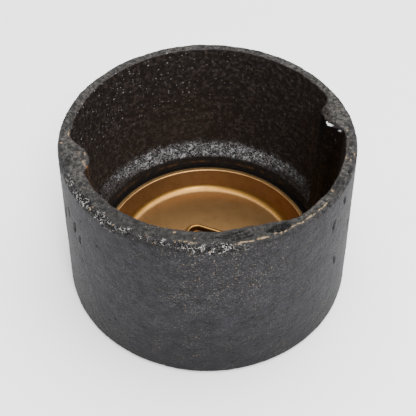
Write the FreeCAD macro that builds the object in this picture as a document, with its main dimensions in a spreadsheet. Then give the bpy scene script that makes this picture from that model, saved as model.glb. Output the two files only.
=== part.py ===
import FreeCAD, Part
import math
import os
import Sketcher

# A black iron sleeve with two inner lugs, and a closed bronze cup screwed down into its foot.
# Millimetres, +Z up.  The origin is the centre of the flat foot, and the open mouth faces up.

DIMENSIONS = {
    # iron sleeve, outside: the casting's draft makes it a little wider at the foot
    "sleeve_height": 54.5,
    "mouth_outer_radius": 42.0,
    "foot_outer_radius": 43.8,
    "rim_bevel": 0.8,
    "foot_bevel": 0.9,
    # iron sleeve, inside, from the open mouth down to the foot
    "bore_radius": 38.4,
    "shoulder_top": 15.0,
    "shoulder_foot": 11.3,
    "counterbore_radius": 35.1,
    "counterbore_floor": 6.0,
    "thread_foot": 2.6,
    "foot_opening_radius": 31.1,
    # two lugs down the wall of the bore, opposite each other
    "lug_face_radius": 34.5,
    "lug_face_width": 9.0,
    "lug_root_radius": 37.0,
    "lug_root_width": 14.0,
    "lug_embed": 1.6,
    "lug_azimuth": 15.0,
    "lug_count": 2,
    # a thick lip along one side of the mouth: a tapered ring with an off-centre round cut out of it
    "lip_radius": 36.2,
    "lip_depth": 16.0,
    "lip_cut_radius": 48.5,
    "lip_cut_offset": 16.0,
    "lip_azimuth": 246.0,
    # bronze cup: its outside is a thread, drawn as the plain cylinder over its crests
    "cup_radius": 33.6,
    "cup_top": 7.9,
    "cup_lip_width": 1.4,
    "cup_underside": 0.35,
    "cup_bottom_radius": 31.0,
    "cup_floor": 1.4,
    "cup_floor_radius": 29.4,
    # the gap round the cup, in its thread and on its seat
    "running_gap": 0.05,
    # square socket for a wrench, in a low collar on the cup's floor and closed underneath
    "square_across_flats": 17.5,
    "square_corner_radius": 2.5,
    "socket_floor": 0.95,
    "collar_wall": 1.3,
    "collar_rise": 1.8,
    "square_azimuth": 68.0,
    # rubber seal ring, round the cup in the counterbore
    "seal_foot": 6.05,
    "seal_top": 7.65,
    "seal_round": 0.45,
}

doc = FreeCAD.newDocument("IronSleeveWithBronzeCup")
sheet = doc.addObject("Spreadsheet::Sheet", "Dimensions")
for row, (alias, value) in enumerate(DIMENSIONS.items(), start=1):
    sheet.set(f"A{row}", alias)
    sheet.set(f"B{row}", str(value))
    sheet.setAlias(f"B{row}", alias)
doc.recompute()


X_AXIS = -1
Y_AXIS = -2
SKETCH_ORIGIN = (-1, 1)
TINY = 1e-4


def bound(formula):
    """The expression that reads a formula's aliases from the sheet."""
    words = formula.replace("(", "( ").replace(")", " )").split()
    return " ".join(f"Dimensions.{word}" if word in DIMENSIONS else word for word in words)


def now(formula):
    """The value that the formula has with the sheet as it stands."""
    return float(sheet.evalExpression(bound(formula)))


def new_body(label):
    body = doc.addObject("PartDesign::Body", label)
    body.Label = label
    return body


def new_sketch(body, name, role):
    """A sketch on one of the body's own origin planes."""
    plane = next(item for item in body.Origin.OriginFeatures if item.Role == role)
    sketch = body.newObject("Sketcher::SketchObject", name)
    sketch.AttachmentSupport = [(plane, "")]
    sketch.MapMode = "FlatFace"
    return sketch


def bind_start(sketch, kind, line, formula, name):
    """Hold a line's start, across or up from the sketch's origin, to the sheet."""
    if formula == "0":
        axis = Y_AXIS if kind == "DistanceX" else X_AXIS
        sketch.addConstraint(Sketcher.Constraint("PointOnObject", line, 1, axis))
        return
    sketch.addConstraint(Sketcher.Constraint(kind, *SKETCH_ORIGIN, line, 1, now(formula)))
    sketch.renameConstraint(sketch.ConstraintCount - 1, name)
    sketch.setExpression(f"Constraints.{name}", bound(formula))


def draw_outline(sketch, corners):
    """A closed outline through corners, each a pair of formulas in the sheet's aliases."""
    points = [FreeCAD.Vector(now(across), now(up), 0) for across, up in corners]
    for index, point in enumerate(points):
        sketch.addGeometry(Part.LineSegment(point, points[(index + 1) % len(points)]))
    for index, (across, up) in enumerate(corners):
        following = (index + 1) % len(corners)
        sketch.addConstraint(Sketcher.Constraint("Coincident", index, 2, following, 1))
        bind_start(sketch, "DistanceX", index, across, f"across_{index}")
        bind_start(sketch, "DistanceY", index, up, f"up_{index}")


def turn_section(body, name, corners):
    """Turn this half section right round the Z axis."""
    sketch = new_sketch(body, f"{name}Section", "XZ_Plane")
    draw_outline(sketch, corners)
    ring = body.newObject("PartDesign::Revolution", name)
    ring.Profile = sketch
    ring.ReferenceAxis = (sketch, ["V_Axis"])
    ring.Angle = 360.0
    doc.recompute()
    return ring


def pad(body, name, sketch, length):
    block = body.newObject("PartDesign::Pad", name)
    block.Profile = sketch
    block.setExpression("Length", bound(length))
    doc.recompute()
    return block


def draw_square(body, name, half_width, base):
    """A square outline about the Z axis, turned to the wrench socket's azimuth."""
    sketch = new_sketch(body, name, "XY_Plane")
    low = f"0 - ( {half_width} )"
    draw_outline(sketch, [(half_width, half_width), (low, half_width), (low, low), (half_width, low)])
    sketch.setExpression("AttachmentOffset.Base.z", bound(base))
    sketch.setExpression("AttachmentOffset.Rotation.Angle", bound("square_azimuth"))
    return sketch


def round_edges(body, name, feature, radius, wanted):
    """Fillet the edges of the feature that the test picks out."""
    edges = [f"Edge{index}" for index, edge in enumerate(feature.Shape.Edges, start=1) if wanted(edge)]
    rounded = body.newObject("PartDesign::Fillet", name)
    rounded.Base = (feature, edges)
    rounded.setExpression("Radius", bound(radius))
    doc.recompute()
    return rounded


def is_upright(edge):
    """True for a straight edge that runs along Z."""
    box = edge.BoundBox
    return box.ZLength > TINY and box.XLength < TINY and box.YLength < TINY


def at_corners_of(half_width):
    """A test for the four upright edges of a square about the Z axis."""
    reach = now(half_width) * math.sqrt(2)

    def is_corner(edge):
        return is_upright(edge) and abs(math.hypot(edge.BoundBox.XMax, edge.BoundBox.YMax) - reach) < TINY

    return is_corner


def cut_lip(body, ring):
    """Cut a round hole, off centre, that leaves only one side of the tapered ring."""
    sketch = new_sketch(body, "LipCutOutline", "XY_Plane")
    offset = now("lip_cut_offset")
    sketch.addGeometry(Part.Circle(FreeCAD.Vector(-offset, 0, 0), FreeCAD.Vector(0, 0, 1), now("lip_cut_radius")))
    sketch.addConstraint(Sketcher.Constraint("PointOnObject", 0, 3, X_AXIS))
    sketch.addConstraint(Sketcher.Constraint("DistanceX", 0, 3, *SKETCH_ORIGIN, offset))
    sketch.renameConstraint(1, "offset")
    sketch.setExpression("Constraints.offset", bound("lip_cut_offset"))
    sketch.addConstraint(Sketcher.Constraint("Radius", 0, now("lip_cut_radius")))
    sketch.renameConstraint(2, "reach")
    sketch.setExpression("Constraints.reach", bound("lip_cut_radius"))
    sketch.setExpression("AttachmentOffset.Base.z", bound("sleeve_height"))
    sketch.setExpression("AttachmentOffset.Rotation.Angle", bound("lip_azimuth"))
    before = ring.Shape.Volume
    cut = body.newObject("PartDesign::Pocket", "LipCut")
    cut.Profile = sketch
    cut.setExpression("Length", bound("lip_depth"))
    doc.recompute()
    if cut.Shape.Volume >= before:
        raise RuntimeError("the lip was not cut")


def build_iron_sleeve():
    body = new_body("iron_sleeve")
    ring = turn_section(body, "LipRing", [
        ("lip_radius", "sleeve_height"),
        ("bore_radius", "sleeve_height - lip_depth"),
        ("bore_radius + lug_embed", "sleeve_height - lip_depth"),
        ("bore_radius + lug_embed", "sleeve_height"),
    ])
    cut_lip(body, ring)
    turn_section(body, "Casting", [
        ("foot_opening_radius", "0"),
        ("foot_outer_radius - foot_bevel", "0"),
        ("foot_outer_radius", "foot_bevel"),
        ("mouth_outer_radius", "sleeve_height - rim_bevel"),
        ("mouth_outer_radius - rim_bevel", "sleeve_height"),
        ("bore_radius", "sleeve_height"),
        ("bore_radius", "shoulder_top"),
        ("counterbore_radius", "shoulder_foot"),
        ("counterbore_radius", "counterbore_floor"),
        ("cup_radius + running_gap", "counterbore_floor"),
        ("cup_radius + running_gap", "thread_foot"),
        ("foot_opening_radius", "cup_underside - running_gap"),
    ])
    outline = new_sketch(body, "LugOutline", "XY_Plane")
    draw_outline(outline, [
        ("lug_face_radius", "lug_face_width / 2"),
        ("lug_face_radius", "0 - lug_face_width / 2"),
        ("lug_root_radius", "0 - lug_root_width / 2"),
        ("bore_radius + lug_embed", "0 - lug_root_width / 2"),
        ("bore_radius + lug_embed", "lug_root_width / 2"),
        ("lug_root_radius", "lug_root_width / 2"),
    ])
    outline.setExpression("AttachmentOffset.Base.z", bound("shoulder_foot"))
    outline.setExpression("AttachmentOffset.Rotation.Angle", bound("lug_azimuth"))
    lug = pad(body, "Lug", outline, "sleeve_height - shoulder_foot")
    both = body.newObject("PartDesign::PolarPattern", "Lugs")
    both.Originals = [lug]
    both.Axis = (outline, ["N_Axis"])
    both.Angle = 360.0
    both.setExpression("Occurrences", bound("lug_count"))
    body.Tip = both
    return body


def build_bronze_cup():
    body = new_body("bronze_cup")
    turn_section(body, "Cup", [
        ("0", "cup_underside"),
        ("cup_bottom_radius", "cup_underside"),
        ("cup_radius", "thread_foot + running_gap"),
        ("cup_radius", "cup_top"),
        ("cup_radius - cup_lip_width", "cup_top"),
        ("cup_floor_radius", "cup_floor"),
        ("0", "cup_floor"),
    ])
    socket = "square_across_flats / 2"
    collar = f"{socket} + collar_wall"
    collar_top = "cup_floor + collar_rise"
    block = pad(body, "Collar", draw_square(body, "CollarOutline", collar, "cup_underside"),
                f"{collar_top} - cup_underside")
    corner = "square_corner_radius + collar_wall"
    before = round_edges(body, "CollarCorners", block, corner, at_corners_of(collar)).Shape.Volume
    hole = body.newObject("PartDesign::Pocket", "Socket")
    hole.Profile = draw_square(body, "SocketOutline", socket, collar_top)
    hole.setExpression("Length", bound(f"{collar_top} - socket_floor"))
    doc.recompute()
    if hole.Shape.Volume >= before:
        raise RuntimeError("the socket was not cut")
    body.Tip = round_edges(body, "SocketCorners", hole, "square_corner_radius", at_corners_of(socket))
    return body


def build_seal_ring():
    body = new_body("seal_ring")
    ring = turn_section(body, "Ring", [
        ("cup_radius + running_gap", "seal_foot"),
        ("counterbore_radius - running_gap", "seal_foot"),
        ("counterbore_radius - running_gap", "seal_top"),
        ("cup_radius + running_gap", "seal_top"),
    ])
    body.Tip = round_edges(body, "RingEdges", ring, "seal_round", lambda edge: edge.Closed)
    return body


def export(sub_parts):
    """Check every feature and every shape, then write one STEP file for each sub-part."""
    doc.recompute()
    for item in doc.Objects:
        if "Invalid" in item.State or "Error" in item.State:
            raise RuntimeError(f"{item.Label} failed: {item.State}")
    for part in sub_parts:
        if part.Shape.isNull() or not part.Shape.isValid():
            raise RuntimeError(f"{part.Label} has no valid shape")
    os.makedirs("parts", exist_ok=True)
    for part in sub_parts:
        part.Shape.exportStep(f"parts/{part.Label}.step")
        box = part.Shape.BoundBox
        print(f"{part.Label}: {part.Shape.Volume:.1f} mm3, {len(part.Shape.Solids)} solid,"
              f" X {box.XLength:.2f}  Y {box.YLength:.2f}  Z {box.ZMin:.2f} to {box.ZMax:.2f}")


export([build_iron_sleeve(), build_seal_ring(), build_bronze_cup()])
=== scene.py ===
"""Looks of a short black iron sleeve with a bronze cup in its foot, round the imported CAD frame.

Lengths inside the shape functions are millimetres, +Z up, origin at the centre of the foot.
Azimuths are degrees anticlockwise from +X, seen from above.  The camera stands on the -Y side.
"""
import math
import bpy
import numpy as np
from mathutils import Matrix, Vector


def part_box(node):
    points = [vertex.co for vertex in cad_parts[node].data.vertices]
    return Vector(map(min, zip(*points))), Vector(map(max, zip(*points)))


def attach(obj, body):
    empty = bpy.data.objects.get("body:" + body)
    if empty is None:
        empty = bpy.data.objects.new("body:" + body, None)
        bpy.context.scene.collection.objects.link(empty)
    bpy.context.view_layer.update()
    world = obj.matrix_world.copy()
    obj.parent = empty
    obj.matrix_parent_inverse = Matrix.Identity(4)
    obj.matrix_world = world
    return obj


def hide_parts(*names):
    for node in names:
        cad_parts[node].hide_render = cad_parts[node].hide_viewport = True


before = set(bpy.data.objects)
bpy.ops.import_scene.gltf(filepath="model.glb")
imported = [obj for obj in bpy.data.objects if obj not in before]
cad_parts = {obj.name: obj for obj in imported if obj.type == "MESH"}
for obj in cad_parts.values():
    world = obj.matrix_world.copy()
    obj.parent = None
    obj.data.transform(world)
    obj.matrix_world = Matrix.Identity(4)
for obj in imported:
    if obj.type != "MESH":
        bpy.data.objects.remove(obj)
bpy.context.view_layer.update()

MM = 0.001
SLEEVE_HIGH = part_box("iron_sleeve")[1]
HEIGHT = SLEEVE_HIGH[2] / MM
FOOT_RADIUS = SLEEVE_HIGH[0] / MM

# ---------------------------------------------------------------- sleeve, millimetres
MOUTH_RADIUS = 42.0
BORE_RADIUS = 38.4
FOOT_BEVEL = 0.9
SHOULDER_TOP = 15.1
SHOULDER_FOOT = 11.3
LEDGE_RADIUS = 35.1
COUNTERBORE_FLOOR = 6.0
LIP_DEPTH = 16.0
RIM_MIDDLE = 38.0
SEAT_RADIUS = 33.66
SEAT_TOP = 2.6
SEAT_FOOT = 0.3
FOOT_OPENING = 31.1
# each lug: azimuth, depth, and the degrees either side of it that its face and its root reach
RIGHT_LUG = (13.8, 4.0, 4.0, 12.0)
LEFT_LUG = (195.0, 4.7, 2.5, 15.0)
LUG_DEPTH = 4.0
# the front of the rim, thicker than the rest, from the left lug round to the right
THICK_START, THICK_END, THICK_BY = -165.0, -59.0, 2.05
# where it is thicker or thinner still: azimuth, half the width at full, half the width in all,
# and by how much
THICKER = ((-93.0, 15.0, 26.0, 0.35), (-78.0, 7.0, 18.0, 0.60), (-85.5, 1.0, 4.5, -0.35))

# ---------------------------------------------------------------- marks on the sleeve
# grit cast into the outer edge of the rim, and the worn line that goes on to the right of it
GRIT_START, GRIT_END = -157.0, -78.0
LINE_START, LINE_END, LINE_RADIUS = -80.0, -40.0, 40.75
# coarse pits in the rim: azimuth, radius, half the length along it, half the width, and how bad
PITS = (
    (-62.0, 39.1, 3.4, 1.35, 1.0),
    (-40.0, 41.3, 0.9, 0.5, 0.6),
    (-29.0, 40.0, 4.6, 1.2, 0.45),
    (-20.0, 41.1, 1.5, 0.5, 0.7),
    (-165.0, 39.6, 2.4, 1.0, 0.4),
    (169.0, 39.6, 1.8, 0.6, 0.4),
)
# spots of the rim rubbed through to a tan ground: azimuth, radius, half length, half width
RUBBED = (
    (3.0, 39.4, 0.9, 0.35),
    (-11.0, 41.3, 0.5, 0.4),
    (-14.0, 39.1, 0.9, 0.45),
    (-14.5, 40.4, 0.5, 0.3),
    (-33.0, 39.3, 0.4, 0.8),
    (180.0, 38.9, 1.5, 0.45),
    (-175.0, 41.0, 0.5, 0.4),
    (174.0, 38.4, 0.6, 0.3),
    (-168.0, 36.3, 0.8, 0.35),
    (-166.5, 34.6, 1.2, 0.35),
    (-161.0, 35.4, 1.4, 0.4),
    (-103.0, 37.3, 0.45, 0.3),
    (-95.0, 38.5, 0.35, 0.2),
    (-97.0, 39.8, 3.4, 0.15),
)
# cracks in the rim, each from one azimuth and radius to another
CRACKS = (
    ((-88.0, 38.1), (-76.0, 36.9)),
    ((-84.0, 38.4), (-74.0, 37.9)),
    ((-81.0, 39.3), (-73.0, 38.9)),
)
# painted highlights, wet-looking glints on the right lug's broken top and beside it: azimuth,
# height, half length
PAINTED_GLINTS = ((9.3, 52.9, 0.9), (4.2, 53.0, 0.2), (-2.5, 39.4, 0.2), (-5.5, 38.2, 0.3))
# gouges down the outer wall: azimuth, height of the middle, length, width, lean sideways, depth
GOUGES = (
    (-161.0, 37.0, 4.5, 0.9, 0.6, 0.55),
    (-155.0, 41.5, 2.4, 0.7, -0.3, 0.40),
    (-150.0, 39.0, 3.6, 0.9, 0.5, 0.50),
    (-146.0, 36.5, 2.6, 0.8, 0.4, 0.45),
    (-166.0, 29.0, 3.0, 0.7, 0.3, 0.40),
    (-28.5, 48.5, 2.2, 0.8, -0.4, 0.45),
    (-36.0, 44.0, 2.6, 0.8, 0.5, 0.45),
    (-33.0, 27.0, 3.2, 0.9, -0.3, 0.40),
    (-20.0, 33.0, 2.4, 0.7, 0.4, 0.35),
)

# ---------------------------------------------------------------- cup, millimetres
CUP_RADIUS = 33.6
CUP_TOP = 7.9
CUP_LIP = 1.4
CUP_FLOOR = 1.4
CUP_FLOOR_RADIUS = 29.4
CUP_UNDERSIDE = 0.35
CUP_BOTTOM_RADIUS = 31.0
CUP_SEAT_TOP = 2.65
THREAD_PITCH = 1.5
SOCKET_HALF = 8.75
SOCKET_CORNER = 2.5
SOCKET_FLOOR = 0.95
SOCKET_AZIMUTH = 68.0
COLLAR_WALL = 1.3
COLLAR_RISE = 1.8

# ---------------------------------------------------------------- noise


def lattice(ix, iy, iz, seed):
    """A repeatable random number from 0 to 1 for each cell of a lattice."""
    mixed = (ix * 73856093) ^ (iy * 19349663) ^ (iz * 83492791) ^ (seed * 2654435761)
    mixed = mixed & 0xFFFFFFFF
    mixed = ((mixed ^ (mixed >> 15)) * 2246822519) & 0xFFFFFFFF
    mixed = ((mixed ^ (mixed >> 13)) * 3266489917) & 0xFFFFFFFF
    return ((mixed ^ (mixed >> 16)) & 0xFFFFFF) / float(0xFFFFFF)


def noise(points, size, seed):
    """Smooth gradient noise, about -1 to 1, with features of the given size."""
    scaled = points / size
    cell = np.floor(scaled).astype(np.int64)
    part = scaled - cell
    ease = part * part * part * (part * (part * 6 - 15) + 10)
    total = np.zeros(len(points))
    for corner in range(8):
        step = np.array([corner & 1, (corner >> 1) & 1, corner >> 2])
        ix, iy, iz = (cell + step).T
        turn = 2 * math.pi * lattice(ix, iy, iz, seed)
        lift = 2 * lattice(ix, iy, iz, seed + 101) - 1
        flat = np.sqrt(1 - lift * lift)
        away = part - step
        slope = (flat * np.cos(turn) * away[:, 0] + flat * np.sin(turn) * away[:, 1]
                 + lift * away[:, 2])
        weight = np.prod(np.where(step, ease, 1 - ease), axis=1)
        total += weight * slope
    return total * 1.6


def layered(points, size, octaves, seed, fade=0.5):
    """Several octaves of noise, each half the size of the one before."""
    total = np.zeros(len(points))
    for octave in range(octaves):
        total += fade ** octave * noise(points, size / 2 ** octave, seed + 7 * octave)
    return total


def grains(points, size, seed, fill=1.0):
    """Domes 0 to 1 high round scattered centres, as sand grains stand in a casting's skin."""
    scaled = points / size
    cell = np.floor(scaled).astype(np.int64)
    best = np.zeros(len(points))
    for dx in (-1, 0, 1):
        for dy in (-1, 0, 1):
            for dz in (-1, 0, 1):
                ix, iy, iz = (cell + np.array([dx, dy, dz])).T
                centre = np.stack([ix + lattice(ix, iy, iz, seed),
                                   iy + lattice(ix, iy, iz, seed + 1),
                                   iz + lattice(ix, iy, iz, seed + 2)], axis=1)
                tall = 0.35 + 0.65 * lattice(ix, iy, iz, seed + 3)
                tall = np.where(lattice(ix, iy, iz, seed + 4) < fill, tall, 0.0)
                gap = np.sum((scaled - centre) ** 2, axis=1) / 0.55
                best = np.maximum(best, tall * np.clip(1 - gap, 0, 1))
    return best


def smooth_step(low, high, value):
    part = np.clip((value - low) / (high - low), 0, 1)
    return part * part * (3 - 2 * part)


def hump(centre, half_flat, half_root, value):
    """1 within half_flat of the centre, falling to 0 at half_root."""
    return 1 - smooth_step(half_flat, half_root, np.abs(value - centre))


def turn_from(azimuth, centre):
    """Azimuth less centre, from -180 to 180 degrees."""
    return (azimuth - centre + 180) % 360 - 180


def span(azimuth, start, end, ease):
    """1 between two azimuths, anticlockwise, with soft ends."""
    middle = (start + end) / 2
    half = (end - start) / 2
    return hump(0, half - ease, half + ease, turn_from(azimuth, middle))


# ---------------------------------------------------------------- ring meshes


def ring_profile(stations, counts):
    """Rows between stations, each station a pair of arrays over azimuth: radius and height."""
    rows = []
    total = len(stations)
    for index, count in enumerate(counts):
        start = stations[index]
        end = stations[(index + 1) % total]
        for step in range(count):
            share = step / count
            rows.append([start[0] + (end[0] - start[0]) * share,
                         start[1] + (end[1] - start[1]) * share])
    table = np.array(rows)
    return table[:, 0], table[:, 1]


def soften(values, passes):
    """Round a closed profile's corners by averaging each row with its neighbours."""
    for _ in range(passes):
        values = (np.roll(values, 1, axis=0) + 2 * values + np.roll(values, -1, axis=0)) / 4
    return values


def to_points(radius, height, azimuth):
    angle = np.radians(azimuth)
    return np.stack([radius * np.cos(angle), radius * np.sin(angle), height], axis=-1)


def outward(points):
    """Unit normals of a grid of points that closes on itself both ways, rows then azimuth."""
    along = np.roll(points, -1, axis=0) - np.roll(points, 1, axis=0)
    around = np.roll(points, -1, axis=1) - np.roll(points, 1, axis=1)
    normal = np.cross(around, along)
    return normal / np.maximum(np.linalg.norm(normal, axis=-1, keepdims=True), 1e-9)


def ring_mesh(name, points, marks):
    """A closed ring from a grid of points in millimetres, with float marks for the material."""
    rows, around, _ = points.shape
    index = np.arange(rows * around).reshape(rows, around)
    below = index
    above = np.roll(index, -1, axis=0)
    faces = np.stack([below, np.roll(below, -1, axis=1), np.roll(above, -1, axis=1), above],
                     axis=-1)
    faces = faces.reshape(-1, 4)
    mesh = bpy.data.meshes.new(name)
    mesh.vertices.add(rows * around)
    mesh.vertices.foreach_set("co", (points.reshape(-1, 3) * MM).astype(np.float32).ravel())
    mesh.loops.add(faces.size)
    mesh.loops.foreach_set("vertex_index", faces.ravel().astype(np.int32))
    mesh.polygons.add(len(faces))
    mesh.polygons.foreach_set("loop_start", np.arange(0, faces.size, 4, dtype=np.int32))
    mesh.polygons.foreach_set("use_smooth", np.ones(len(faces), dtype=bool))
    mesh.update(calc_edges=True)
    mesh.validate()
    for mark, values in marks.items():
        layer = mesh.attributes.new(mark, "FLOAT", "POINT")
        layer.data.foreach_set("value", values.astype(np.float32).ravel())
    piece = bpy.data.objects.new(name, mesh)
    bpy.context.scene.collection.objects.link(piece)
    return piece


def stroke(across, up, start, end, half_width):
    """1 along a straight stroke between two points, falling to 0 at half_width from it."""
    run = np.subtract(end, start)
    share = np.clip(((across - start[0]) * run[0] + (up - start[1]) * run[1]) / (run @ run), 0, 1)
    gap = np.hypot(across - start[0] - share * run[0], up - start[1] - share * run[1])
    return smooth_step(half_width, 0.3 * half_width, gap)


# ---------------------------------------------------------------- iron sleeve


def lug_reach(azimuth, lug):
    """How far one lug stands into the bore."""
    centre, depth, half_face, half_root = lug
    return depth * hump(0, half_face, half_root, turn_from(azimuth, centre))


def sleeve_stations(azimuth):
    """The sleeve's section at each azimuth, from the underside by the wall and rim to the bore."""
    flat = np.ones_like(azimuth)
    edge_line = to_points(MOUTH_RADIUS * flat, HEIGHT * flat, azimuth)
    worn = span(azimuth, GRIT_START - 12, GRIT_END, 8)
    crisp = span(azimuth, LINE_START, LINE_END, 5)
    bevel_width = 1.05 + 1.0 * worn + 0.15 * crisp + 0.35 * layered(edge_line, 6.0, 2, 21)
    bevel_drop = 0.85 + 0.9 * worn - 0.1 * crisp + 0.35 * layered(edge_line, 5.0, 2, 22)
    at_back = hump(0, 40, 80, turn_from(azimuth, 135))
    rim = HEIGHT - 0.32 - 0.14 * layered(edge_line, 26.0, 2, 23) + 0.08 * at_back

    right = lug_reach(azimuth, RIGHT_LUG)
    left = lug_reach(azimuth, LEFT_LUG)
    lugs = np.maximum(right, left)
    thick = THICK_BY * span(azimuth, THICK_START, THICK_END, 6)
    for place, half_flat, half_root, by in THICKER:
        thick = thick + by * hump(0, half_flat, half_root, turn_from(azimuth, place))
    thin_back = 0.35 * hump(0, 35, 70, turn_from(azimuth, 70))
    wavy = 0.20 * layered(edge_line, 9.0, 3, 11) + 0.07 * layered(edge_line, 1.8, 2, 12)
    inner = BORE_RADIUS + 0.2 + thin_back - np.maximum(thick, lugs) - wavy
    # the right lug's top is broken away in a slope that runs down into the bore
    broken = right / RIGHT_LUG[1]
    brow = inner + 0.25 + 1.5 * broken
    brow_drop = 0.2 + 1.35 * broken

    bore = BORE_RADIUS - np.maximum(0.3 * thick, np.minimum(lugs, LUG_DEPTH))
    return [
        (FOOT_OPENING * flat, 0 * flat),
        ((FOOT_RADIUS - FOOT_BEVEL - 0.1) * flat, 0 * flat),
        ((FOOT_RADIUS - 0.1) * flat, FOOT_BEVEL * flat),
        (MOUTH_RADIUS * flat, rim - bevel_drop),
        (MOUTH_RADIUS - 0.35 * bevel_width, rim - 0.42 * bevel_drop),
        (MOUTH_RADIUS - bevel_width, rim),
        (brow, rim - 0.1),
        (inner, rim - 0.1 - brow_drop),
        (bore, (HEIGHT - LIP_DEPTH) * flat),
        (bore, SHOULDER_TOP * flat),
        (LEDGE_RADIUS * flat, SHOULDER_FOOT * flat),
        (LEDGE_RADIUS * flat, COUNTERBORE_FLOOR * flat),
        (SEAT_RADIUS * flat, COUNTERBORE_FLOOR * flat),
        (SEAT_RADIUS * flat, SEAT_TOP * flat),
        (FOOT_OPENING * flat, SEAT_FOOT * flat),
    ]


# rows of the mesh from each of those stations to the next, and the stations the marks start from
SLEEVE_ROWS = (20, 4, 150, 5, 4, 14, 6, 46, 60, 26, 12, 4, 5, 5, 1)
WALL, EDGE, RIM, BROW, BORE, SHOULDER, LEDGE = 1, 3, 5, 6, 7, 9, 10
AROUND = 800
CUP_AROUND = 576
SEAL_AROUND = 360


def build_sleeve():
    azimuth = np.linspace(0, 360, AROUND, endpoint=False)
    radius, height = ring_profile(sleeve_stations(azimuth), SLEEVE_ROWS)
    radius = soften(radius, 2)
    height = soften(height, 2)
    points = to_points(radius, height, azimuth[None, :])
    normal = outward(points)
    flat_points = points.reshape(-1, 3)
    shape = radius.shape
    around = np.broadcast_to(turn_from(azimuth, 0), shape)
    along_rim = np.radians(around) * RIM_MIDDLE
    first = np.cumsum((0,) + SLEEVE_ROWS)
    row = np.arange(shape[0])[:, None] * np.ones(shape)

    def field(values):
        return values.reshape(shape)

    def between(start, end):
        """1 on the rows from one station to another."""
        return ((row >= first[start]) & (row < first[end])) * 1.0

    under = between(0, WALL)
    outer = between(WALL, EDGE)
    edge = between(EDGE, RIM)
    rim = between(RIM, BROW)
    brow = between(BROW, BORE)
    inside = soften(between(BROW, LEDGE), 1)
    machined = (row > first[LEDGE]) * 1.0
    # the rough shoulder, and the coarse grit along the front left of the rim's outer edge
    ragged = field(layered(flat_points, 3.2, 3, 31))
    crumbly = field(layered(flat_points, 1.4, 2, 34))
    rough_height = height + 1.3 * ragged + 0.6 * crumbly
    band = smooth_step(SHOULDER_TOP + 1.9, SHOULDER_TOP - 0.9, rough_height) * between(BORE, LEDGE)
    band = band * smooth_step(first[LEDGE] + 1, first[LEDGE] - 4, row)
    from_edge = np.hypot(np.maximum(MOUTH_RADIUS - 0.6 - radius, 0),
                         np.maximum(HEIGHT - 0.9 - height, 0))
    grit = span(around, GRIT_START, GRIT_END, 6) * smooth_step(1.6, 0.8, from_edge + 1.1 * ragged)
    grit = grit * (outer + edge + rim)
    # the thin worn line that goes on to the right of it
    near_line = np.abs(radius - LINE_RADIUS + 0.22 * ragged + 0.14 * crumbly)
    wear = span(around, LINE_START, LINE_END, 2) * smooth_step(0.26, 0.10, near_line) * (edge + rim)
    # coarse pits, rubbed spots and cracks in the rim, and gouges down the wall
    def patch(place, middle, half_length, half_width):
        """1 in a ragged oval on the rim, falling to 0 at its edge."""
        along = math.radians(1) * RIM_MIDDLE * turn_from(around, place)
        far = np.hypot(along / half_length, (radius - middle) / half_width)
        return smooth_step(1.15, 0.75, far + 0.25 * ragged + 0.25 * crumbly) * (edge + rim)

    pit = np.zeros(shape)
    for place, middle, half_length, half_width, share in PITS:
        pit = np.maximum(pit, share * patch(place, middle, half_length, half_width))
    for place, middle, half_length, half_width in RUBBED:
        wear = np.maximum(wear, 0.7 * patch(place, middle, half_length, half_width))
    crack = np.zeros(shape)
    for (start, start_radius), (end, end_radius) in CRACKS:
        line = stroke(along_rim, radius + 0.15 * ragged,
                      (math.radians(start) * RIM_MIDDLE, start_radius),
                      (math.radians(end) * RIM_MIDDLE, end_radius), 0.4)
        crack = np.maximum(crack, line * rim)
    along_wall = np.radians(around) * MOUTH_RADIUS
    gouge = np.zeros(shape)
    for place, middle, length, width, lean, depth in GOUGES:
        centre = math.radians(place) * MOUTH_RADIUS
        mask = stroke(along_wall + 0.5 * ragged + 0.3 * crumbly, height + 0.5 * crumbly,
                      (centre - lean, middle - length / 2), (centre + lean, middle + length / 2),
                      0.8 * width)
        gouge = np.maximum(gouge, depth * mask * outer)
    pocks = smooth_step(0.78, 1.05, field(layered(flat_points * (1, 1, 0.6), 1.5, 3, 33, 0.6)))
    gouge = np.maximum(gouge, 0.15 * pocks * outer)

    skin = (0.07 * field(layered(flat_points, 11.0, 3, 41))
            + 0.05 * field(layered(flat_points, 1.7, 3, 42))
            + 0.05 * field(grains(flat_points, 0.9, 43, 0.55)))
    rim_skin = (0.06 * field(layered(flat_points, 4.0, 3, 44))
                + 0.05 * field(layered(flat_points, 1.1, 2, 50))
                - 0.16 * field(grains(flat_points, 1.2, 45, 0.16)))
    inner_skin = (0.10 * field(layered(flat_points, 3.0, 3, 46))
                  + 0.15 * field(grains(flat_points, 1.1, 47, 0.6)))
    coarse = field(grains(flat_points, 1.0, 48, 0.95)) - 0.35
    fine = field(grains(flat_points, 0.6, 49, 0.9)) - 0.3

    lift = ((outer + edge) * skin + (edge + rim) * rim_skin + inside * inner_skin
            + under * 0.5 * skin)
    lift = lift * (1 - grit) + grit * (0.55 * coarse + 0.40 * fine - 0.2)
    lift = lift + band * (0.42 * coarse + 0.34 * fine)
    lift = lift + brow * (right_lug_share(around) * 0.5 * coarse)
    lift = lift - pit * (0.9 - 0.9 * fine - 0.5 * coarse) - 0.35 * crack - gouge
    lift = lift * (1 - machined)
    points = points + normal * lift[..., None]
    points[..., 2] = np.clip(points[..., 2], 0.0, HEIGHT - 0.02)
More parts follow.
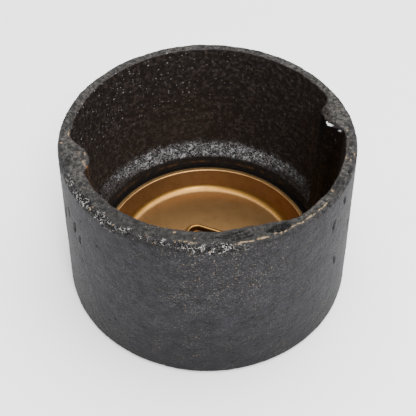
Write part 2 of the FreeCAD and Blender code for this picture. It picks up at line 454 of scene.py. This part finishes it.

    # where glints are painted into the bore and onto the shoulder, dust lies on the wall, the
    # casting is stained and a reflection of the bronze is painted, and shade is painted on the
    # right lug's flank
    at_back = hump(0, 30, 75, turn_from(around, 135))
    # painted highlight: the share of the bore that gets pale glint specks, most at the back and
    # high up
    painted_glint = inside * (0.25 + 0.75 * at_back * smooth_step(22, 44, height))
    # painted highlights: bright dots at the listed glints
    painted_sparkle = np.zeros(shape)
    along_bore = np.radians(around) * BORE_RADIUS
    for place, level, length in PAINTED_GLINTS:
        centre = math.radians(place) * BORE_RADIUS
        dot = stroke(along_bore, height + 0.2 * crumbly, (centre - length, level + 0.2),
                     (centre + length, level - 0.2), 0.30)
        painted_sparkle = np.maximum(painted_sparkle, dot * (inside + brow))
    # painted highlight: pale glitter on the shoulder band, brightest round azimuth 94 and rising
    # off its lower edge away from there
    middle_share = hump(0, 20, 60, turn_from(around, 94))
    right_end = 0.25 * hump(0, 4, 12, turn_from(around, 39))
    painted_glitter = band * (0.30 + right_end + 0.70 * middle_share) * span(around, 33, 153, 4)
    painted_glitter = painted_glitter * smooth_step(10.9, 12.1, height - 1.7 * (1 - middle_share))
    dusty = outer * hump(0, 10, 30, turn_from(around, -84)) * smooth_step(22, 36, height)
    # painted reflection of the bronze: a thin brown line round the counterbore wall at 9.2 mm
    bronze_reflection_line = smooth_step(0.55, 0.15, np.abs(height - 9.2 + 0.2 * ragged)) * (row > first[LEDGE])
    left_edge = smooth_step(0.9, 0.3, np.abs(turn_from(around, -158.5) + 0.6 * ragged))
    left_edge = left_edge * smooth_step(26, 40, height) * between(BROW, SHOULDER)
    stain = np.maximum(bronze_reflection_line, left_edge)
    # painted shade: the right lug's front flank darkened towards black
    shade = inside * hump(0, 6, 11, turn_from(around, 10)) * (1 - brow)
    runs = field(layered(flat_points * (1, 1, 0.06), 1.5, 2, 35))
    brown = inside * hump(0, 7, 15, turn_from(around, 28)) * smooth_step(0.0, 0.5, runs)
    stain = np.maximum(stain, 0.4 * brown * smooth_step(48, 36, height))
    front = span(around, -150, -55, 12)
    marks = {"rim": rim, "edge": edge, "inside": inside, "band": band, "grit": grit, "wear": wear,
             "pit": np.maximum(pit, crack), "machined": machined, "painted_glint": painted_glint, "painted_glitter": painted_glitter,
             "dusty": dusty, "stain": stain, "shade": shade,
             "brow": brow * right_lug_share(around), "painted_sparkle": painted_sparkle, "front": front,
             "hollow": np.clip(gouge / 0.3, 0, 1) + np.clip(-rim_skin * rim / 0.12, 0, 1),
             "height": height / HEIGHT}
    return ring_mesh("cast_sleeve", points, marks)


def right_lug_share(azimuth):
    """1 on the right lug, falling to 0 away from it."""
    return lug_reach(azimuth, RIGHT_LUG) / RIGHT_LUG[1]


# ---------------------------------------------------------------- bronze cup and its seal


def rounded_square_radius(azimuth, half, corner):
    """Distance from the centre to a round-cornered square's outline, at each azimuth."""
    folded = (azimuth - SOCKET_AZIMUTH + 45) % 90 - 45
    angle = np.radians(np.abs(folded))
    on_flat = half / np.cos(angle)
    inset = half - corner
    reach = inset * (np.cos(angle) + np.sin(angle))
    on_corner = reach + np.sqrt(np.maximum(reach ** 2 - 2 * inset ** 2 + corner ** 2, 0))
    return np.where(half * np.tan(angle) <= inset, on_flat, on_corner)


def fillet(before, corner, after, radius, steps):
    """Stations along the arc that rounds a corner of a section, as (radius, height) pairs."""
    corner = np.array(corner, float)
    back = np.array(before, float) - corner
    on = np.array(after, float) - corner
    back /= np.linalg.norm(back)
    on /= np.linalg.norm(on)
    half = math.acos(float(np.clip(back @ on, -1, 1))) / 2
    reach = radius / math.tan(half)
    centre = corner + (back + on) / np.linalg.norm(back + on) * radius / math.sin(half)
    start = corner + back * reach - centre
    end = corner + on * reach - centre
    turn = math.atan2(start[0] * end[1] - start[1] * end[0], float(start @ end))
    stations = []
    for step in range(steps + 1):
        angle = turn * step / steps
        cos, sin = math.cos(angle), math.sin(angle)
        stations.append((centre[0] + cos * start[0] - sin * start[1],
                         centre[1] + sin * start[0] + cos * start[1]))
    return stations


def build_cup():
    azimuth = np.linspace(0, 360, CUP_AROUND, endpoint=False)
    flat = np.ones_like(azimuth)
    collar_top = CUP_FLOOR + COLLAR_RISE

    def square(extra, height):
        corner = SOCKET_CORNER + max(extra, -1.5)
        return rounded_square_radius(azimuth, SOCKET_HALF + extra, corner), height * flat

    def disc(radius, height):
        return radius * flat, height * flat

    stations = [disc(0.002, CUP_UNDERSIDE), disc(0.002, SOCKET_FLOOR), disc(0.02, SOCKET_FLOOR),
                square(-2.0, SOCKET_FLOOR),
                square(-0.5, SOCKET_FLOOR + 0.03), square(-0.12, SOCKET_FLOOR + 0.15),
                square(0.0, SOCKET_FLOOR + 0.5), square(0.02, collar_top - 0.5),
                square(0.16, collar_top - 0.14), square(0.5, collar_top),
                square(0.85, collar_top - 0.06), square(COLLAR_WALL - 0.05, collar_top - 0.4),
                square(COLLAR_WALL, CUP_FLOOR + 0.55), square(COLLAR_WALL + 0.25, CUP_FLOOR + 0.13),
                square(COLLAR_WALL + 0.8, CUP_FLOOR)]
    counts = [1, 1, 10, 4, 2, 2, 4, 2, 3, 3, 3, 4, 3, 3, 30]
    lip_inner = (CUP_RADIUS - CUP_LIP, CUP_TOP)
    lip_outer = (CUP_RADIUS, CUP_TOP)
    wall_foot = (CUP_FLOOR_RADIUS, CUP_FLOOR)
    thread_foot = (CUP_RADIUS, CUP_SEAT_TOP)
    underside = (CUP_BOTTOM_RADIUS, CUP_UNDERSIDE)
    corners = [((20, CUP_FLOOR), wall_foot, lip_inner, 3.0, 12, 18),
               (wall_foot, lip_inner, lip_outer, 0.42, 6, 2),
               (lip_inner, lip_outer, thread_foot, 0.34, 5, 44),
               (lip_outer, thread_foot, underside, 0.3, 2, 8),
               (thread_foot, underside, (0, CUP_UNDERSIDE), 0.3, 2, 34)]
    for before, corner, after, radius, steps, run in corners:
        stations += [disc(r, z) for r, z in fillet(before, corner, after, radius, steps)]
        counts += [1] * steps + [run]
    stations.append(disc(0.02, CUP_UNDERSIDE))
    counts.append(1)
    radius, height = ring_profile(stations, counts)
    around = np.broadcast_to(azimuth, radius.shape)
    on_thread = smooth_step(CUP_SEAT_TOP + 0.2, CUP_SEAT_TOP + 0.9, height)
    on_thread = on_thread * smooth_step(CUP_TOP - 0.4, CUP_TOP - 1.3, height)
    on_thread = on_thread * (radius > CUP_RADIUS - 0.1)
    phase = (height / THREAD_PITCH - around / 360) % 1
    radius = radius - on_thread * 0.42 * np.abs(2 * phase - 1)
    points = to_points(radius, height, azimuth[None, :])
    normal = outward(points)
    flat_points = points.reshape(-1, 3)
    dents = 0.02 * layered(flat_points, 9.0, 2, 61).reshape(radius.shape)
    on_skin = (1 - on_thread) * smooth_step(1.0, 4.0, radius)
    points = points + normal * (on_skin * (dents - 0.02))[..., None]
    wall = smooth_step(CUP_FLOOR + 0.9, CUP_FLOOR + 2.2, height)
    wall = wall * (radius < CUP_RADIUS - 0.2) * (radius > CUP_FLOOR_RADIUS - 3)
    socket = rounded_square_radius(around, SOCKET_HALF + 0.2, SOCKET_CORNER) > radius
    socket = socket * (height > SOCKET_FLOOR - 0.1) * 1.0
    crest = smooth_step(collar_top - 0.3, collar_top - 0.1, height)
    crest = crest * (radius < CUP_FLOOR_RADIUS - 6)
    upright = smooth_step(CUP_FLOOR + 0.03, CUP_FLOOR + 0.3, height)
    curve = upright * smooth_step(CUP_FLOOR + 2.2, CUP_FLOOR + 1.2, height)
    curve = curve * (radius > CUP_FLOOR_RADIUS - 4)
    lip = smooth_step(CUP_RADIUS - CUP_LIP + 0.25, CUP_RADIUS - CUP_LIP + 0.6, radius)
    lip = lip * smooth_step(CUP_TOP - 0.5, CUP_TOP - 0.1, height)
    marks = {"wall": wall, "curve": curve, "lip": lip, "socket": socket, "crest": crest}
    return ring_mesh("screw_cup", points, marks)


def build_seal():
    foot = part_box("seal_ring")[0][2] / MM
    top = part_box("seal_ring")[1][2] / MM
    azimuth = np.linspace(0, 360, SEAL_AROUND, endpoint=False)
    flat = np.ones_like(azimuth)
    inner = CUP_RADIUS + 0.07
    outer = LEDGE_RADIUS - 0.07
    loop = [(inner, foot), (outer, foot), (outer, top), (inner, top)]
    stations = []
    counts = []
    for index, corner in enumerate(loop):
        arc = fillet(loop[index - 1], corner, loop[(index + 1) % 4], 0.42, 4)
        stations += [(r * flat, z * flat) for r, z in arc]
        counts += [1] * 4 + [4]
    radius, height = ring_profile(stations, counts)
    points = to_points(radius, height, azimuth[None, :])
    normal = outward(points)
    lumps = 0.03 * layered(points.reshape(-1, 3), 5.0, 2, 71).reshape(radius.shape)
    points = points + normal * (lumps - 0.03)[..., None]
    return ring_mesh("packing_ring", points, {})


# ---------------------------------------------------------------- materials


class Nodes:
    """Short calls for a material's node tree."""

    def __init__(self, name):
        self.material = bpy.data.materials.new(name)
        self.material.use_nodes = True
        self.tree = self.material.node_tree
        self.tree.nodes.clear()
        self.shader = self.node("ShaderNodeBsdfPrincipled")
        output = self.node("ShaderNodeOutputMaterial")
        self.link(self.shader.outputs["BSDF"], output.inputs["Surface"])

    def node(self, kind, **settings):
        made = self.tree.nodes.new(kind)
        for key, value in settings.items():
            setattr(made, key, value)
        return made

    def link(self, source, target):
        self.tree.links.new(source, target)

    def feed(self, target, value):
        """Set an input to a number or colour, or link it to a socket."""
        if isinstance(value, bpy.types.NodeSocket):
            self.link(value, target)
        else:
            target.default_value = value

    def millimetres(self, stretch=(1, 1, 1)):
        """The object's own coordinates in millimetres, stretched along each axis."""
        place = self.node("ShaderNodeTexCoord")
        scale = self.node("ShaderNodeVectorMath", operation="MULTIPLY")
        self.link(place.outputs["Object"], scale.inputs[0])
        scale.inputs[1].default_value = [share / MM for share in stretch]
        return scale.outputs[0]

    def mark(self, name):
        return self.node("ShaderNodeAttribute", attribute_name=name).outputs["Fac"]

    def math(self, operation, first, second=0.0, clamp=False):
        made = self.node("ShaderNodeMath", operation=operation, use_clamp=clamp)
        self.feed(made.inputs[0], first)
        self.feed(made.inputs[1], second)
        return made.outputs[0]

    def noise(self, size, detail=3.0, rough=0.55, where=None, distort=0.0):
        """Noise from 0 to 1 with features of the given size in millimetres."""
        made = self.node("ShaderNodeTexNoise")
        self.link(where or self.millimetres(), made.inputs["Vector"])
        made.inputs["Scale"].default_value = 1 / size
        made.inputs["Detail"].default_value = detail
        made.inputs["Roughness"].default_value = rough
        made.inputs["Distortion"].default_value = distort
        return made.outputs["Fac"]

    def specks(self, size, share, reach):
        """Ragged dots in this share of a lattice's cells, each reaching this far across one."""
        ragged = self.node("ShaderNodeTexNoise")
        self.link(self.millimetres(), ragged.inputs["Vector"])
        ragged.inputs["Scale"].default_value = 2.2 / size
        shift = self.node("ShaderNodeVectorMath", operation="MULTIPLY_ADD")
        self.link(ragged.outputs["Color"], shift.inputs[0])
        shift.inputs[1].default_value = [0.8 * size] * 3
        self.link(self.millimetres(), shift.inputs[2])
        dots = self.node("ShaderNodeTexVoronoi")
        self.link(shift.outputs[0], dots.inputs["Vector"])
        dots.inputs["Scale"].default_value = 1 / size
        parts = self.node("ShaderNodeSeparateColor")
        self.link(dots.outputs["Color"], parts.inputs[0])
        chosen = self.math("LESS_THAN", parts.outputs[0], share)
        near = self.step(dots.outputs["Distance"], reach, 0.6 * reach)
        return self.math("MULTIPLY", chosen, near)

    def step(self, value, low, high):
        """0 below low and 1 above high, or the other way round if high is the smaller."""
        made = self.node("ShaderNodeMapRange", interpolation_type="SMOOTHSTEP", clamp=True)
        self.feed(made.inputs["Value"], value)
        flip = high < low
        made.inputs["From Min"].default_value = min(low, high)
        made.inputs["From Max"].default_value = max(low, high)
        made.inputs["To Min"].default_value = 1.0 if flip else 0.0
        made.inputs["To Max"].default_value = 0.0 if flip else 1.0
        return made.outputs["Result"]

    def mix(self, share, first, second):
        made = self.node("ShaderNodeMix", data_type="RGBA")
        self.feed(made.inputs[0], share)
        self.feed(made.inputs[6], first)
        self.feed(made.inputs[7], second)
        return made.outputs[2]

    def blend(self, share, first, second):
        made = self.node("ShaderNodeMix", data_type="FLOAT")
        self.feed(made.inputs[0], share)
        self.feed(made.inputs[2], first)
        self.feed(made.inputs[3], second)
        return made.outputs[0]

    def bump(self, height, depth, under=None):
        """A bump of the given depth in millimetres for heights from 0 to 1."""
        made = self.node("ShaderNodeBump")
        made.inputs["Strength"].default_value = 1.0
        made.inputs["Distance"].default_value = depth * MM
        self.link(height, made.inputs["Height"])
        if under is not None:
            self.link(under, made.inputs["Normal"])
        return made.outputs["Normal"]


def colour(red, green, blue):
    return (red, green, blue, 1.0)


WALL_DARK = colour(0.0033, 0.0032, 0.0042)
WALL_LIGHT = colour(0.0162, 0.0158, 0.0205)
RIM_DARK = colour(0.0070, 0.0067, 0.0064)
RIM_LIGHT = colour(0.055, 0.051, 0.047)
INSIDE_DARK = colour(0.0110, 0.0090, 0.0086)
INSIDE_LIGHT = colour(0.046, 0.0360, 0.0320)
BLACK = colour(0.0018, 0.0018, 0.0020)
GRIT_GREY = colour(0.055, 0.052, 0.048)
GRIT_GLINT_WHITE = colour(0.38, 0.37, 0.355)
# pale grey painted into the shoulder band and the bore as glints
PAINTED_GLINT_GREY = colour(0.40, 0.40, 0.41)
PAINTED_SPARKLE = colour(0.75, 0.76, 0.78)
DUST = colour(0.19, 0.125, 0.070)
ASH = colour(0.150, 0.140, 0.112)
WORN = colour(0.21, 0.15, 0.088)
STAIN = colour(0.070, 0.034, 0.014)


def iron_material():
    n = Nodes("black_iron")
    place = n.millimetres()
    rim = n.math("MAXIMUM", n.mark("rim"), n.math("MULTIPLY", n.mark("edge"), 0.5))
    inside = n.mark("inside")
    grit = n.mark("grit")
    mottle = n.noise(3.2, 6.0, 0.70, place)
    fine = n.noise(0.55, 3.0, 0.6, place)
    tiny = n.noise(0.36, 2.0, 0.55, place)
    streaks = n.noise(0.8, 4.0, 0.6, n.millimetres((1.0, 1.0, 0.16)), 0.9)
    # thin curled lines, where a noise crosses its own middle
    curl = n.math("ABSOLUTE", n.math("SUBTRACT", n.noise(0.95, 2.0, 0.5, place), 0.5))

    wall = n.mix(n.step(mottle, 0.30, 0.72), WALL_DARK, WALL_LIGHT)
    wall = n.mix(n.math("MULTIPLY", n.step(streaks, 0.54, 0.70), 0.5), wall, WALL_LIGHT)
    wall = n.mix(n.math("MULTIPLY", n.step(tiny, 0.44, 0.34), 0.7), wall, BLACK)
    # painted shade: the outer wall darkened towards the foot
    wall = n.mix(n.math("MULTIPLY", n.step(n.mark("height"), 0.50, 0.02), 0.7), wall, WALL_DARK)
    face = n.mix(n.step(n.noise(1.2, 5.0, 0.72, place), 0.38, 0.64), RIM_DARK, RIM_LIGHT)
    face = n.mix(n.math("MULTIPLY", n.step(tiny, 0.44, 0.36), 0.7), face, BLACK)
    bore = n.mix(n.step(n.noise(1.3, 4.0, 0.70, place), 0.44, 0.74), INSIDE_DARK, INSIDE_LIGHT)
    # painted shade: the right lug's front flank darkened towards black
    bore = n.mix(n.mark("shade"), bore, BLACK)
    face = n.mix(n.math("MULTIPLY", n.mark("front"), 0.58), face, RIM_DARK)
    base = n.mix(rim, wall, face)
    base = n.mix(inside, base, bore)
    base = n.mix(n.mark("machined"), base, INSIDE_DARK)
    base = n.mix(n.math("MULTIPLY", n.mark("hollow"), 0.8, clamp=True), base, BLACK)

    # dust: pale and tan specks, thick in the middle of the front and in clusters elsewhere
    cluster = n.math("MULTIPLY", n.step(n.noise(6.0, 4.0, 0.65, place), 0.44, 0.62), 0.45)
    cluster = n.math("ADD", cluster, n.math("MULTIPLY", n.mark("dusty"), 0.55))
    cluster = n.math("MULTIPLY", cluster, n.math("SUBTRACT", 1.0, inside, clamp=True))
    haze = n.math("MULTIPLY", n.step(tiny, 0.54, 0.68), n.math("ADD", cluster, 0.08))
    base = n.mix(n.math("MULTIPLY", haze, 0.42), base, ASH)
    base = n.mix(n.math("MULTIPLY", n.specks(0.62, 0.22, 0.30), cluster), base, ASH)
    base = n.mix(n.math("MULTIPLY", n.specks(0.95, 0.14, 0.26), cluster), base, DUST)
    outdoors = n.math("SUBTRACT", 0.6, inside, clamp=True)
    base = n.mix(n.math("MULTIPLY", n.specks(0.80, 0.25, 0.34), outdoors), base, BLACK)
    # the grit: black hollows, grey grains, and white curls painted in as glints
    grit_tone = n.mix(n.step(tiny, 0.51, 0.63), BLACK, GRIT_GREY)
    curled = n.step(n.noise(1.6, 2.0, 0.5, place), 0.46, 0.58)
    glint_curls = n.math("MULTIPLY", n.step(curl, 0.032, 0.015), curled)
    grit_tone = n.mix(glint_curls, grit_tone, GRIT_GLINT_WHITE)
    grit_tone = n.mix(n.specks(0.8, 0.10, 0.36), grit_tone, DUST)
    base = n.mix(grit, base, grit_tone)
    base = n.mix(n.mark("pit"), base, n.mix(n.step(tiny, 0.60, 0.66), BLACK, GRIT_GREY))
    # the shoulder's rough band with pale glitter painted on as a highlight, and the painted glints
    # in the bore above it
    clumps = n.step(n.noise(2.4, 3.0, 0.6, place), 0.38, 0.62)
    painted_glitter_spots = n.math("MULTIPLY", n.step(n.noise(0.85, 5.0, 0.72, place), 0.47, 0.67), clumps)
    painted_glitter_spots = n.math("MAXIMUM", painted_glitter_spots, n.math("MULTIPLY", n.step(curl, 0.022, 0.010), 0.5))
    base = n.mix(n.math("MULTIPLY", painted_glitter_spots, n.mark("painted_glitter")), base, PAINTED_GLINT_GREY)
    # painted highlights: pale glint specks in the bore
    painted_glint_specks = n.math("MULTIPLY", n.specks(0.95, 0.32, 0.23), n.mark("painted_glint"))
    base = n.mix(n.math("MULTIPLY", painted_glint_specks, 0.6), base, PAINTED_GLINT_GREY)
    # painted highlights: the bright glints on the right lug's top and beside it
    base = n.mix(n.math("MULTIPLY", n.mark("painted_sparkle"), n.step(tiny, 0.38, 0.46)), base, PAINTED_SPARKLE)
    worn = n.math("MULTIPLY", n.mark("wear"), n.step(n.noise(1.1, 3.0, 0.6, place), 0.42, 0.56))
    base = n.mix(worn, base, WORN)
    # brown streaks, with a painted reflection of the bronze as a line round the counterbore wall
    stain_and_reflection = n.math("MULTIPLY", n.mark("stain"), n.step(n.noise(2.4, 3.0, 0.6, place), 0.42, 0.64))
    base = n.mix(stain_and_reflection, base, STAIN)
    n.link(base, n.shader.inputs["Base Color"])

    rough = n.blend(inside, n.blend(rim, 0.60, 0.64), 0.40)
    rough = n.blend(n.math("MAXIMUM", grit, n.mark("band")), rough, 0.26)
    rough = n.blend(n.mark("brow"), rough, 0.16)
    rough = n.math("ADD", rough, n.math("MULTIPLY", n.math("SUBTRACT", fine, 0.5), 0.2), clamp=True)
    n.link(rough, n.shader.inputs["Roughness"])
    n.shader.inputs["Specular IOR Level"].default_value = 0.14
    rugged = n.math("MAXIMUM", n.math("MAXIMUM", grit, n.mark("band")), n.mark("pit"))
    rugged = n.math("ADD", rugged, 0.18, clamp=True)
    skin = n.bump(n.math("MULTIPLY", n.noise(0.55, 3.0, 0.62, place), rugged), 0.45)
    skin = n.bump(fine, 0.10, skin)
    n.link(skin, n.shader.inputs["Normal"])
    return n.material


BRONZE_FLOOR = colour(0.240, 0.134, 0.052)
BRONZE_DARK = colour(0.300, 0.158, 0.062)
BRONZE_STAIN = colour(0.18, 0.088, 0.032)
BRONZE_CURVE = colour(0.270, 0.135, 0.030)
BRONZE_LIP = colour(0.42, 0.260, 0.105)
BRONZE_CREST = colour(0.21, 0.115, 0.034)
BRONZE_SOCKET_SHADE = colour(0.10, 0.045, 0.014)


def bronze_material():
    n = Nodes("bronze")
    place = n.millimetres()
    tone = n.mix(n.mark("wall"), BRONZE_FLOOR, BRONZE_DARK)
    tone = n.mix(n.mark("curve"), tone, BRONZE_CURVE)
    tone = n.mix(n.mark("lip"), tone, BRONZE_LIP)
    stain = n.math("MULTIPLY", n.step(n.noise(3.0, 6.0, 0.70, place), 0.42, 0.75), 0.5)
    tone = n.mix(stain, tone, BRONZE_STAIN)
    # painted shade: the square socket darkened inside
    tone = n.mix(n.mark("socket"), tone, BRONZE_SOCKET_SHADE)
    tone = n.mix(n.mark("crest"), tone, BRONZE_CREST)
    n.link(tone, n.shader.inputs["Base Color"])
    n.shader.inputs["Metallic"].default_value = 0.92
    n.shader.inputs["Specular IOR Level"].default_value = 0.3
    rough = n.math("ADD", 0.31, n.math("MULTIPLY", n.noise(2.6, 4.0, 0.6, place), 0.12))
    rough = n.math("ADD", rough, n.math("MULTIPLY", n.mark("socket"), 0.15))
    n.link(rough, n.shader.inputs["Roughness"])
    skin = n.bump(n.noise(0.6, 3.0, 0.6, place), 0.02)
    n.link(skin, n.shader.inputs["Normal"])
    return n.material


RUBBER_DARK = colour(0.002, 0.0016, 0.0014)
RUBBER_LIGHT = colour(0.006, 0.0045, 0.0035)


def rubber_material():
    n = Nodes("seal_rubber")
    place = n.millimetres()
    tone = n.mix(n.noise(2.0, 3.0, 0.5, place), RUBBER_DARK, RUBBER_LIGHT)
    n.link(tone, n.shader.inputs["Base Color"])
    rough = n.math("ADD", 0.50, n.math("MULTIPLY", n.noise(1.2, 3.0, 0.5, place), 0.2))
    n.link(rough, n.shader.inputs["Roughness"])
    n.shader.inputs["Specular IOR Level"].default_value = 0.04
    n.link(n.bump(n.noise(0.6, 2.0, 0.5, place), 0.03), n.shader.inputs["Normal"])
    return n.material


# ---------------------------------------------------------------- camera, light and floor

CAMERA_ELEVATION = 46.96
CAMERA_DISTANCE = 6.4104
CAMERA_LENS = 76.88
CAMERA_SHIFT = (0.0011, -0.0194)


def aim(thing, place, target):
    thing.location = place
    thing.rotation_euler = (Vector(target) - Vector(place)).to_track_quat("-Z", "Y").to_euler()


def place_camera():
    data = bpy.data.cameras.new("camera")
    camera = bpy.data.objects.new("camera", data)
    bpy.context.scene.collection.objects.link(camera)
    data.lens = CAMERA_LENS
    data.sensor_width = 36.0
    data.shift_x, data.shift_y = CAMERA_SHIFT
    angle = math.radians(CAMERA_ELEVATION)
    away = CAMERA_DISTANCE * MOUTH_RADIUS * MM
    middle = HEIGHT * MM / 2
    aim(camera, (0, -away * math.cos(angle), middle + away * math.sin(angle)), (0, 0, middle))
    bpy.context.scene.camera = camera


def add_area(name, place, target, size, power):
    data = bpy.data.lights.new(name, "AREA")
    data.shape = "RECTANGLE"
    data.size, data.size_y = size
    data.energy = power
    light = bpy.data.objects.new(name, data)
    bpy.context.scene.collection.objects.link(light)
    aim(light, place, target)


def light_studio():
    world = bpy.data.worlds.new("studio")
    bpy.context.scene.world = world
    world.use_nodes = True
    sky = world.node_tree.nodes["Background"]
    sky.inputs["Color"].default_value = colour(1.0, 1.0, 1.0)
    sky.inputs["Strength"].default_value = 0.92
    middle = (0, 0, HEIGHT * MM)
    add_area("overhead", (0.13, 0.04, 0.75), middle, (1.0, 0.75), 17.0)
    add_area("key", (0.16, -0.50, 0.62), middle, (0.16, 0.16), 5.0)


def lay_floor():
    bpy.ops.mesh.primitive_plane_add(size=6.0, location=(0, 0, -0.0001))
    floor = bpy.context.object
    floor.name = "floor"
    n = Nodes("floor")
    shade = n.mix(n.noise(60.0, 2.0, 0.5), colour(0.92, 0.92, 0.92), colour(0.94, 0.94, 0.94))
    n.link(shade, n.shader.inputs["Base Color"])
    n.shader.inputs["Roughness"].default_value = 0.9
    floor.data.materials.append(n.material)


# ---------------------------------------------------------------- the object


def show(piece, node, body, material):
    """Stand a finished piece in for its CAD node."""
    piece.data.materials.append(material)
    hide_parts(node)
    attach(piece, body)


show(build_sleeve(), "iron_sleeve", "sleeve", iron_material())
show(build_seal(), "seal_ring", "seal", rubber_material())
show(build_cup(), "bronze_cup", "cup", bronze_material())
place_camera()
light_studio()
lay_floor()
